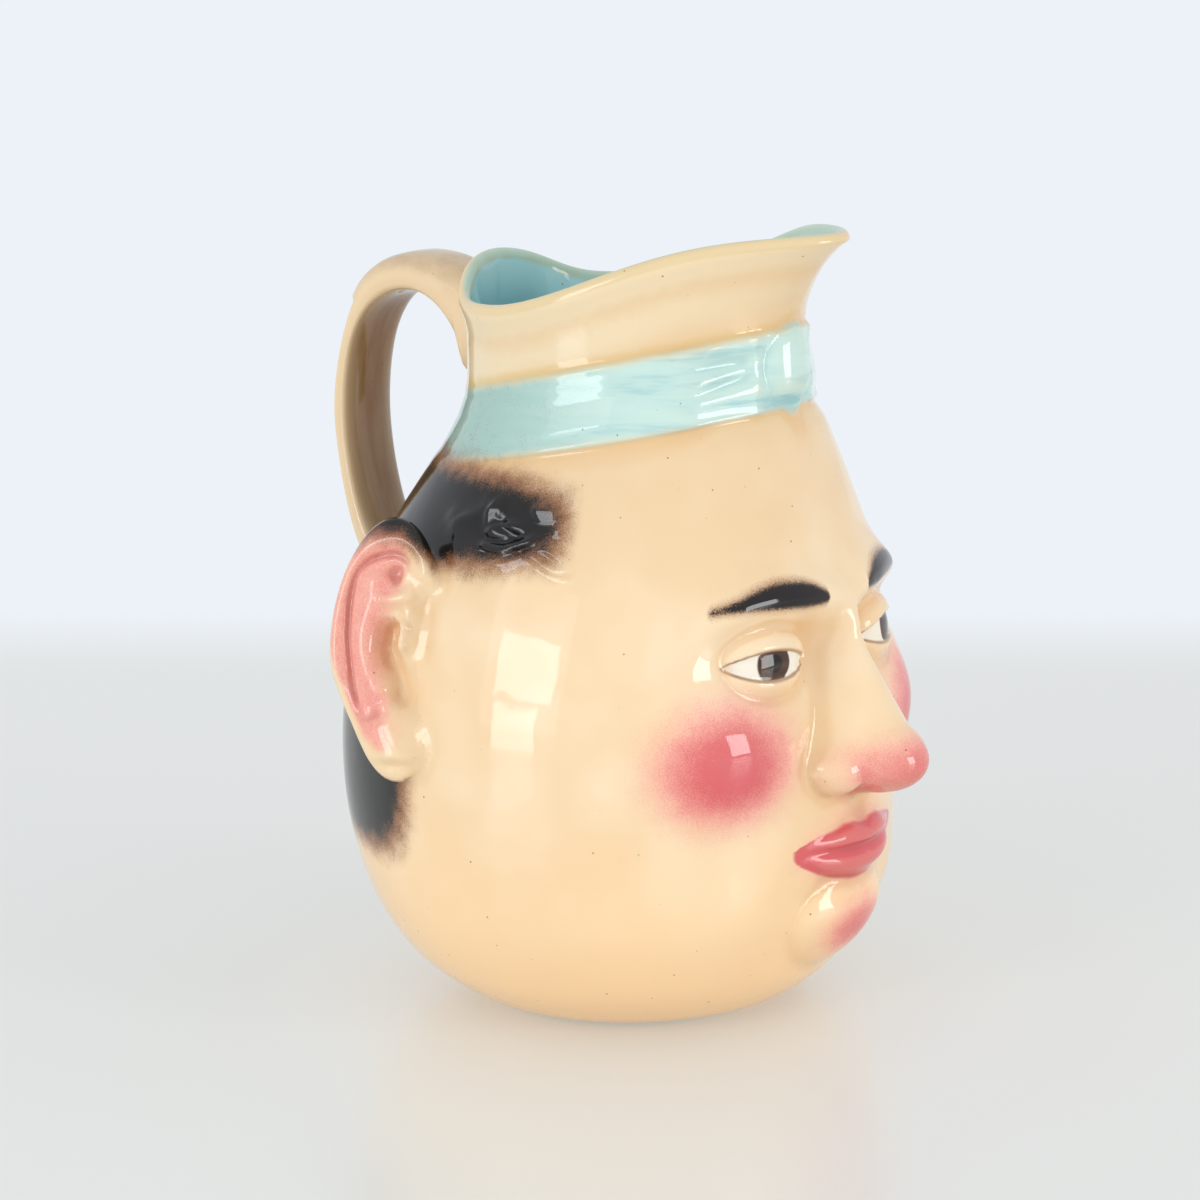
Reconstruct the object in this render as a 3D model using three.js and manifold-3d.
// A glazed earthenware face jug: a round head for the body, a cap with a ribbon for the collar,
// a rim that rises to a pouring lip over the brow, an ear on each side and a strap handle behind.
// The jug is one casting with a hollow inside. Millimetres, +Z up, the face towards -Y, the
// origin at the middle of the underside.
import * as THREE from "three";
import { mergeVertices } from "three/addons/utils/BufferGeometryUtils.js";
import Module from "manifold-3d";

const { clamp, degToRad, lerp, smoothstep } = THREE.MathUtils;

// Driving dimensions ------------------------------------------------------------------------
const WALL = 4.4; // thickness of the cast wall
const FLOOR = 5; // thickness of the bottom
const LIP_ROUND = WALL / 2; // radius of the rolled rim

// The outside of the plain head from the underside to the rim, as [reach from the axis, height],
// at the side, in front under the features, and behind. The last five rows are the cap.
const SIDE_PROFILE = [
  [33, 0], [38, 1.2], [46.5, 5], [57.5, 14], [66.5, 28], [71.5, 45], [73, 63], [72, 82], [68, 100],
  [61.5, 118], [53, 134], [45.5, 148], [41.5, 160], [41, 169.5], [41.5, 176], [42.5, 181.6],
];
const FRONT_PROFILE = [
  [31, 0], [36, 1.2], [45, 5], [54, 14], [59, 28], [61.5, 45], [62.5, 63], [62.5, 82], [61.5, 100],
  [58.5, 118], [53.5, 136], [47.5, 153], [43, 167], [42, 179.1], [43.5, 188.9], [46, 196.8],
];
const BACK_PROFILE = [
  [33, 0], [38, 1.2], [47, 5], [59, 14], [68.5, 28], [74, 45], [76, 63], [74.5, 82], [70, 100],
  [63, 118], [54.5, 132], [47, 143], [43, 153], [42, 163.9], [42.5, 175.1], [44, 185.6],
];
const HEAD_ROWS = [1, 1, 2, 3, 6, 7, 6, 6, 5, 3]; // rows of facets in each span below the cap
const INNER_ROWS = 8; // rows of facets down the inside
const INNER_FLOOR = 0.1; // where the inside reaches the floor, as a share of the way up
const POCKET = { depth: 5, breadth: 20, height: 24 }; // the inside draws back behind the eyes
const FRONT_COLUMNS = 42; // columns of facets across the face
const BACK_COLUMNS = 18; // and round the rest of the head
const FACE_HALF_ANGLE = degToRad(60);

// The rim's wave, which grows over the cap: a pouring lip in front and a dip behind each ear.
const WAVE_START = 0.7; // share of the way up where the wave begins
const SPOUT = { reach: 14, width: 0.48 };
const RIM_SWELL = 8.8;
const RIM_DIP = { depth: 2.2, angle: degToRad(141), width: 0.3 };

// The ribbon round the cap lies between two planes that rise to the front, under a knot. Each
// plane is given by its height on the axis and its fall per millimetre towards the back.
const RIBBON = { low: [145.6, 0.2], high: [164.4, 0.235], raise: 1.3, edge: 0.9 };
const CAP_ROWS = { below: 2, edge: 1, ribbon: 3, above: 4 }; // rows of facets up the cap
const KNOT = { height: 164.5, halfWidth: 8.5, halfHeight: 12.5, raise: 4.5 };
const LOCKS = { angle: degToRad(86), halfAngle: 0.3, low: 121, high: 143, raise: 1.6, pitch: 7 };

// Face proportions: thirds from the hairline to the brow, the nose base and the chin.
const HAIRLINE = 155;
const CHIN_BASE = 17;
const THIRD = (HAIRLINE - CHIN_BASE) / 3;
const BROW_Z = HAIRLINE - THIRD;
const NOSE_BASE_Z = CHIN_BASE + THIRD;
const EYE_Z = BROW_Z - 12;
const MOUTH_Z = NOSE_BASE_Z - THIRD / 3;
const CHIN_Z = CHIN_BASE + 11;
const FACE_RADIUS = 66; // turns an angle round the head into a breadth across the face
const EYE_WIDTH = (2 * FACE_RADIUS) / 5; // the head is five eyes wide
const EYE_X = EYE_WIDTH;
const NOSE_REACH = 21;

// Ears, each a dish that leans out from the head.
const EAR = {
  foot: [72, 12.5, 66], lean: degToRad(12), tilt: degToRad(14), middle: [14.5, 33],
  halfWidth: 15, halfHeight: 32.2, lobeShift: 5.5, thickness: 5, root: 20, columns: 24, rows: 18,
};

// Strap handle, drawn in the plane of symmetry as [distance behind the axis, height].
const HANDLE_WIDTH = 21;
const HANDLE_ROUND = 2.2;
const HANDLE_OUTER = [
  [38, 178], [48.5, 182.5], [57, 185.2], [66, 185], [74, 181.5], [80.5, 174], [85, 161], [87.5, 145],
  [86, 130], [82, 113], [75, 98], [66, 86],
];
const HANDLE_INNER = [
  [58, 90], [68, 101], [76, 114], [80.5, 129], [82, 145], [80, 161], [75, 170.5], [67, 175.5],
  [58, 175.5], [50.5, 170.5], [45.5, 162], [44.5, 154], [38, 146],
];
const HANDLE_STEPS = 24;

// Small tools -------------------------------------------------------------------------------
const bump = (distance, width) => Math.exp(-((distance / width) ** 2));
const fadeOut = (value, from, to) => 1 - smoothstep(value, from, to);
const planeCurve = (points) => new THREE.SplineCurve(points.map(([a, b]) => new THREE.Vector2(a, b)));

// The larger of two heights, with the corner between them filled over the given width.
function blendMax(a, b, width) {
  const share = clamp(0.5 + (0.5 * (a - b)) / width, 0, 1);
  return lerp(b, a, share) + width * share * (1 - share);
}

// Height of an egg standing out of the face at [x, z], which falls away steeply outside the egg.
function dome(x, z, [centreX, centreZ], [radiusX, radiusZ], sunk, reach) {
  const q = Math.hypot((x - centreX) / radiusX, (z - centreZ) / radiusZ);
  return sunk + (q < 1 ? reach * Math.sqrt(1 - q * q) : -2 * reach * (q - 1));
}

// Plain head --------------------------------------------------------------------------------
const CAP_SHARE = HEAD_ROWS.length / (SIDE_PROFILE.length - 1);
const side = planeCurve(SIDE_PROFILE);
const front = planeCurve(FRONT_PROFILE);
const back = planeCurve(BACK_PROFILE);

// A point on the smooth outside of the jug. The angle is measured from the face, share runs from
// the underside (0) to the rim (1), and inset moves the point into the wall.
function headPoint(angle, share, inset = 0) {
  const [s, f, b] = [side, front, back].map((curve) => curve.getPoint(share));
  const [c, n] = [Math.cos(angle), Math.sin(angle)];
  const wave = clamp((share - WAVE_START) / (1 - WAVE_START), 0, 1) ** 2;
  const depth = (f.x + b.x) / 2 + ((f.x - b.x) / 2) * c - inset;
  const spout = SPOUT.reach * wave * bump(angle, SPOUT.width);
  const dip = RIM_DIP.depth * bump(Math.abs(angle) - RIM_DIP.angle, RIM_DIP.width);
  const level = s.y + ((f.y - b.y) / 2) * c + ((f.y + b.y) / 2 - s.y) * c * c;
  return new THREE.Vector3(
    (s.x - inset) * n, -depth * c - spout, level + wave * (RIM_SWELL * (c - c ** 3) - dip));
}

// Height of a point over one of the ribbon's planes.
const heightOver = (p, [onAxis, fall]) => p.z - onAxis + fall * p.y;

// Share of the way up at which the wall at an angle stands the given height over a plane.
function shareOver(angle, plane, over) {
  let [low, high] = [CAP_SHARE, 1];
  for (let halving = 0; halving < 20; halving++) {
    const middle = (low + high) / 2;
    if (heightOver(headPoint(angle, middle), plane) < over) low = middle;
    else high = middle;
  }
  return (low + high) / 2;
}

// Face --------------------------------------------------------------------------------------
// Nose: a bridge that widens downwards, a round tip and two wings.
function noseHeight(x, z) {
  const down = clamp((BROW_Z - 2 - z) / (BROW_Z - NOSE_BASE_Z - 12), 0, 1);
  const crest = lerp(2, NOSE_REACH - 3, down ** 1.15) - 4.5 * (x / lerp(5, 7.5, down)) ** 2;
  const ends = smoothstep(z, NOSE_BASE_Z, NOSE_BASE_Z + 8) * fadeOut(z, BROW_Z - 6, BROW_Z + 14);
  const ridge = lerp(-14, crest, ends);
  const tip = dome(x, z, [0, NOSE_BASE_Z + 8], [10.5, 9.5], 5, NOSE_REACH - 5);
  const wing = dome(Math.abs(x), z, [10, NOSE_BASE_Z + 6], [6.5, 6.8], 1, 9);
  return blendMax(blendMax(ridge, tip, 3), wing, 2.5);
}

// Lips: a bowed upper lip over a fuller lower one, closed.
function lipHeight(x, z) {
  const taper = Math.sqrt(Math.max(0, 1 - (x / 22) ** 2));
  const bow = 1.2 * bump(Math.abs(x) - 4.5, 4) - 1.2 * bump(x, 2.5);
  const upper = (z - MOUTH_Z) / ((6.4 + bow) * taper + 0.6);
  const lower = (MOUTH_Z - z) / (8.6 * taper + 0.6);
  const across = Math.max(upper, lower);
  const full = across < 1 ? Math.sin(Math.PI * (0.12 + 0.88 * across)) ** 0.7 : -3 * (across - 1);
  return (upper > 0 ? 4.2 : 5) * full * taper - 1.2 - 4 * (1 - taper);
}

// Eye: a round lid line over the ball, set back in its socket.
function eyeHeight(x, z) {
  const ball = dome(x, z, [EYE_X, EYE_Z], [EYE_WIDTH * 0.52, EYE_WIDTH * 0.42], -7.5, 8.5);
  const lidEdge = EYE_Z + 4.2 - ((x - EYE_X) / EYE_WIDTH) ** 2 * 13;
  const lid = 1.5 * smoothstep(z, lidEdge - 0.8, lidEdge + 0.8) * fadeOut(z, EYE_Z + 8, EYE_Z + 12);
  const lowerEdge = EYE_Z - 5 + ((x - EYE_X) / EYE_WIDTH) ** 2 * 9;
  const lowerLid = 1.2 * fadeOut(z, lowerEdge - 0.8, lowerEdge + 0.8);
  return ball + lid + lowerLid;
}

// The whole face as height out of the plain head, at a breadth and a height on it.
function faceHeight(x, z) {
  const ax = Math.abs(x);
  const browLine = BROW_Z + 3 - ((ax - 24) / 24) ** 2 * 3;
  const brow = 5 * bump(z - browLine, 6.5) * fadeOut(ax, 36, 52) * lerp(0.75, 1, smoothstep(ax, 2, 14));
  const socket = -5.5 * bump(ax - EYE_X, 17) * bump(z - EYE_Z - 1, 11);
  const innerCorner = -3 * bump(ax - 12.5, 5.5) * bump(z - EYE_Z - 2, 9);
  const cheek = 4.5 * bump(ax - 39, 19) * bump(z - NOSE_BASE_Z - 13, 16);
  const muzzle = 5 * bump(x, 24) * bump(z - MOUTH_Z - 2, 17);
  const jaw = 2.5 * bump(ax - 38, 24) * bump(z - 32, 14);
  const plain = brow + socket + innerCorner + cheek + muzzle + jaw;
  const sulcus = 2.4 * bump(z - MOUTH_Z + 13, 3.5) * bump(x, 13);
  let height = blendMax(plain, eyeHeight(ax, z), 2);
  height = blendMax(height, plain + noseHeight(x, z), 3);
  height = blendMax(height, plain + lipHeight(x, z), 1.5);
  return blendMax(height, plain + dome(x, z, [0, CHIN_Z], [19, 13], -3, 10), 7) - sulcus;
}

// The raised ribbon with its knot in front, and the soft locks of hair at the temples.
function trimHeight(p, angle) {
  const band = smoothstep(heightOver(p, RIBBON.low), -RIBBON.edge, RIBBON.edge) *
    fadeOut(heightOver(p, RIBBON.high), -RIBBON.edge, RIBBON.edge);
  const knot = Math.abs(angle) < 1
    ? dome(p.x, p.z, [0, KNOT.height], [KNOT.halfWidth, KNOT.halfHeight], 0, KNOT.raise) : 0;
  const lock = 0.5 + 0.5 * Math.cos(((p.z - LOCKS.low) / LOCKS.pitch) * 2 * Math.PI + angle * 4);
  const locks = LOCKS.raise * lock * bump(Math.abs(angle) - LOCKS.angle, LOCKS.halfAngle) *
    smoothstep(p.z, LOCKS.low - 4, LOCKS.low + 4) * fadeOut(p.z, LOCKS.high - 4, LOCKS.high + 2);
  return blendMax(RIBBON.raise * band, knot, 1.5) + locks;
}

// A point on the finished outside.
function skinPoint(angle, share) {
  const p = headPoint(angle, share);
  const across = fadeOut(Math.abs(angle), FACE_HALF_ANGLE * 0.8, FACE_HALF_ANGLE * 1.25);
  const up = smoothstep(p.z, 3, 16) * fadeOut(p.z, HAIRLINE - 12, HAIRLINE);
  const lift = faceHeight(angle * FACE_RADIUS, p.z) * across * up + trimHeight(p, angle);
  const turn = angle * lerp(0.15, 1, smoothstep(Math.abs(angle), 0.1, 0.9));
  return p.add(new THREE.Vector3(Math.sin(turn) * lift, -Math.cos(turn) * lift, 0));
}

// Wall of the jug ---------------------------------------------------------------------------
// Columns are close together over the face and wide apart behind it.
function columnAngle(column) {
  const half = FRONT_COLUMNS / 2;
  if (column <= half) return (column / half) * FACE_HALF_ANGLE;
  if (column < half + BACK_COLUMNS)
    return FACE_HALF_ANGLE + ((column - half) / BACK_COLUMNS) * 2 * (Math.PI - FACE_HALF_ANGLE);
  return 2 * Math.PI - ((FRONT_COLUMNS + BACK_COLUMNS - column) / half) * FACE_HALF_ANGLE;
}

// An angle as its signed distance from the face.
const signed = (angle) => (angle > Math.PI ? angle - 2 * Math.PI : angle);

// The closed section of the wall, as functions of the angle: from the axis under the base, up the
// outside, over the rim and down the inside to the axis again.
function wallSection() {
  const section = [() => new THREE.Vector3(0, 0, 0)];
  HEAD_ROWS.forEach((rows, span) => {
    for (let row = 0; row < rows; row++) {
      const share = (span + row / rows) / (SIDE_PROFILE.length - 1);
      section.push((angle) => skinPoint(angle, share));
    }
  });
  section.push(...capRows());
  for (const turn of [0, 0.33, 0.67]) section.push((angle) => lipPoint(angle, turn));
  for (let row = 0; row <= INNER_ROWS; row++)
    section.push((angle) => innerPoint(angle, lerp(1, INNER_FLOOR, row / INNER_ROWS)));
  section.push(() => new THREE.Vector3(0, 0, FLOOR));
  return section;
}

// The rows up the cap, which follow the edges of the ribbon.
function capRows() {
  const { low, high, edge } = RIBBON;
  const levels = [
    [() => CAP_SHARE, CAP_ROWS.below],
    [(angle) => shareOver(angle, low, -edge), CAP_ROWS.edge],
    [(angle) => shareOver(angle, low, edge), CAP_ROWS.ribbon],
    [(angle) => shareOver(angle, high, -edge), CAP_ROWS.edge],
    [(angle) => shareOver(angle, high, edge), CAP_ROWS.above],
    [() => 1, 0],
  ];
  return levels.slice(0, -1).flatMap(([from, rows], i) =>
    Array.from({ length: rows }, (_, row) =>
      (angle) => skinPoint(angle, lerp(from(angle), levels[i + 1][0](angle), row / rows))));
}

// The rolled rim, from its outside (turn 0) to its inside (turn 1).
function lipPoint(angle, turn) {
  const p = headPoint(angle, 1, LIP_ROUND * (1 - Math.cos(Math.PI * turn)));
  return p.add(new THREE.Vector3(0, 0, LIP_ROUND * Math.sin(Math.PI * turn)));
}

// The inside follows the plain head and ends on the flat floor.
function innerPoint(angle, share) {
  const { z } = headPoint(angle, share, WALL);
  const ax = Math.abs(angle) * FACE_RADIUS;
  const pocket = POCKET.depth * bump(ax - EYE_X * 0.7, POCKET.breadth) * bump(z - EYE_Z, POCKET.height);
  const p = headPoint(angle, share, WALL + pocket);
  if (share > INNER_FLOOR) return p;
  return p.setZ(FLOOR);
}

// The room inside the middle of the wall, which the ears and the handle stay out of.
function coreSection() {
  const top = SIDE_PROFILE.length - 1;
  const section = [() => new THREE.Vector3(0, 0, FLOOR / 2)];
  for (let span = 2; span <= top; span++)
    section.push((angle) => headPoint(angle, span / top, WALL / 2));
  section.push(() => new THREE.Vector3(0, 0, FRONT_PROFILE[top][1]));
  return section;
}

// A lathe turned from as many points as the section has, with every vertex set by the section.
function turned(section) {
  const columns = FRONT_COLUMNS + BACK_COLUMNS;
  const last = section.length - 1;
  const blank = section.map((_, i) => new THREE.Vector2(i === 0 || i === last ? 0 : 10, i));
  const geometry = new THREE.LatheGeometry(blank, columns);
  const position = geometry.getAttribute("position");
  for (let column = 0; column <= columns; column++) {
    const angle = signed(columnAngle(column % columns));
    section.forEach((at, row) => {
      const p = at(angle);
      position.setXYZ(column * section.length + row, p.x, p.y, p.z);
    });
  }
  return geometry;
}

// Ears --------------------------------------------------------------------------------------
// A point in the ear's plane, on a ring that is a share of the outline's size. The lobe sits forward.
function earPlanePoint(share, turn) {
  const up = EAR.halfHeight * share * Math.sin(turn);
  const forward = EAR.lobeShift * smoothstep(-up, 0, EAR.halfHeight * 0.8);
  return [EAR.halfWidth * share * Math.cos(turn) - forward, up];
}

// Carving of the ear's face: the rolled helix, its groove, the inner fold, the bowl, the flap in
// front of it and the lobe. Share runs from the middle (0) to the edge (1).
function earCarving(q, z, share, turn) {
  const behind = smoothstep(Math.cos(turn - 0.95), -0.45, 0.1);
  const helix = 2.8 * bump(share - 0.86, 0.15) * behind;
  const groove = -2 * bump(share - 0.64, 0.09) * behind;
  const fold = 2.4 * bump(q - 4, 2.8) * bump(z - 3, 16);
  const branch = 1.6 * bump(q + 2, 6) * bump(z - 13.5, 2.5);
  const hollow = -1.8 * bump(q + 1.5, 3.5) * bump(z - 18.5, 3);
  const bowl = -7 * bump(q + 2, 4) * bump(z + 1, 9.5);
  const flap = 3.2 * bump(q + 8, 3) * bump(z - 2, 5.5);
  const lobe = 2 * bump(q + 5, 7) * bump(z + 23, 7);
  return helix + groove + fold + branch + hollow + bowl + flap + lobe;
}

// One ear: a ball whose front half becomes the carved face and whose back half is the root.
function earGeometry(sign) {
  const geometry = new THREE.SphereGeometry(1, EAR.columns, EAR.rows);
  const position = geometry.getAttribute("position");
  const backward = new THREE.Vector3(Math.sin(EAR.lean), Math.cos(EAR.lean), 0);
  const steep = new THREE.Vector3(-Math.sin(EAR.tilt), 0, Math.cos(EAR.tilt));
  const outward = backward.clone().cross(steep).normalize();
  const upward = outward.clone().cross(backward);
  const foot = new THREE.Vector3(...EAR.foot);
  for (let i = 0; i < position.count; i++) {
    const polar = Math.acos(clamp(position.getY(i), -1, 1)) / (Math.PI / 2);
    const turn = Math.atan2(position.getZ(i), position.getX(i));
    const facing = polar < 1;
    const share = facing ? polar : Math.sqrt(Math.max(0, 2 - polar));
    const [q, z] = earPlanePoint(share, turn);
    const rounding = Math.sqrt(Math.max(0, 1 - share ** 8));
    const depth = facing
      ? (EAR.thickness / 2 + earCarving(q, z, share, turn)) * rounding
      : -lerp(EAR.root, EAR.thickness / 2, share) * rounding;
    const p = foot.clone()
      .addScaledVector(backward, EAR.middle[0] + q)
      .addScaledVector(upward, EAR.middle[1] + z)
      .addScaledVector(outward, depth);
    position.setXYZ(i, sign * p.x, p.y, p.z);
  }
  if (sign > 0) turnFaces(geometry);
  return geometry;
}

// Reverses a mirrored geometry's faces so that they point out again.
function turnFaces(geometry) {
  const index = geometry.getIndex();
  for (let i = 0; i < index.count; i += 3) {
    const second = index.getX(i + 1);
    index.setX(i + 1, index.getX(i + 2));
    index.setX(i + 2, second);
  }
}

// Handle ------------------------------------------------------------------------------------
// The strap's side outline, pushed out sideways with rounded edges.
function handleGeometry() {
  const outline = [HANDLE_OUTER, HANDLE_INNER]
    .flatMap((points) => planeCurve(points).getPoints(HANDLE_STEPS));
  const geometry = new THREE.ExtrudeGeometry(new THREE.Shape(outline), {
    depth: HANDLE_WIDTH - 2 * HANDLE_ROUND, bevelEnabled: true, bevelThickness: HANDLE_ROUND,
    bevelSize: HANDLE_ROUND * 0.7, bevelOffset: -HANDLE_ROUND * 0.7, bevelSegments: 2,
  });
  const toPlace = new THREE.Matrix4().makeBasis(
    new THREE.Vector3(0, 1, 0), new THREE.Vector3(0, 0, 1), new THREE.Vector3(1, 0, 0));
  geometry.translate(0, 0, HANDLE_ROUND - HANDLE_WIDTH / 2);
  return geometry.applyMatrix4(toPlace);
}

// Joining -----------------------------------------------------------------------------------
const wasm = await Module();
wasm.setup();

// A geometry as a closed solid.
function solid(geometry) {
  const bare = geometry.clone();
  for (const name of ["normal", "uv"]) bare.deleteAttribute(name);
  const merged = mergeVertices(bare, 1e-3);
  return new wasm.Manifold(new wasm.Mesh({
    numProp: 3,
    vertProperties: merged.getAttribute("position").array,
    triVerts: new Uint32Array(merged.index.array),
  }));
}

// A solid as a geometry again.
function geometryOf(joined) {
  const mesh = joined.getMesh();
  return new THREE.BufferGeometry()
    .setAttribute("position", new THREE.BufferAttribute(mesh.vertProperties, 3))
    .setIndex(new THREE.BufferAttribute(mesh.triVerts, 1));
}

const core = solid(turned(coreSection()));
const casting = [earGeometry(1), earGeometry(-1), handleGeometry()]
  .map((geometry) => solid(geometry).subtract(core))
  .reduce((whole, piece) => whole.add(piece), solid(turned(wallSection())));
const glaze = new THREE.MeshStandardMaterial({ color: 0xf2d9ae, roughness: 0.12, metalness: 0 });
const jug = new THREE.Mesh(geometryOf(casting), glaze);
jug.name = "jug";

const part = new THREE.Group();
part.add(jug);
export default part;
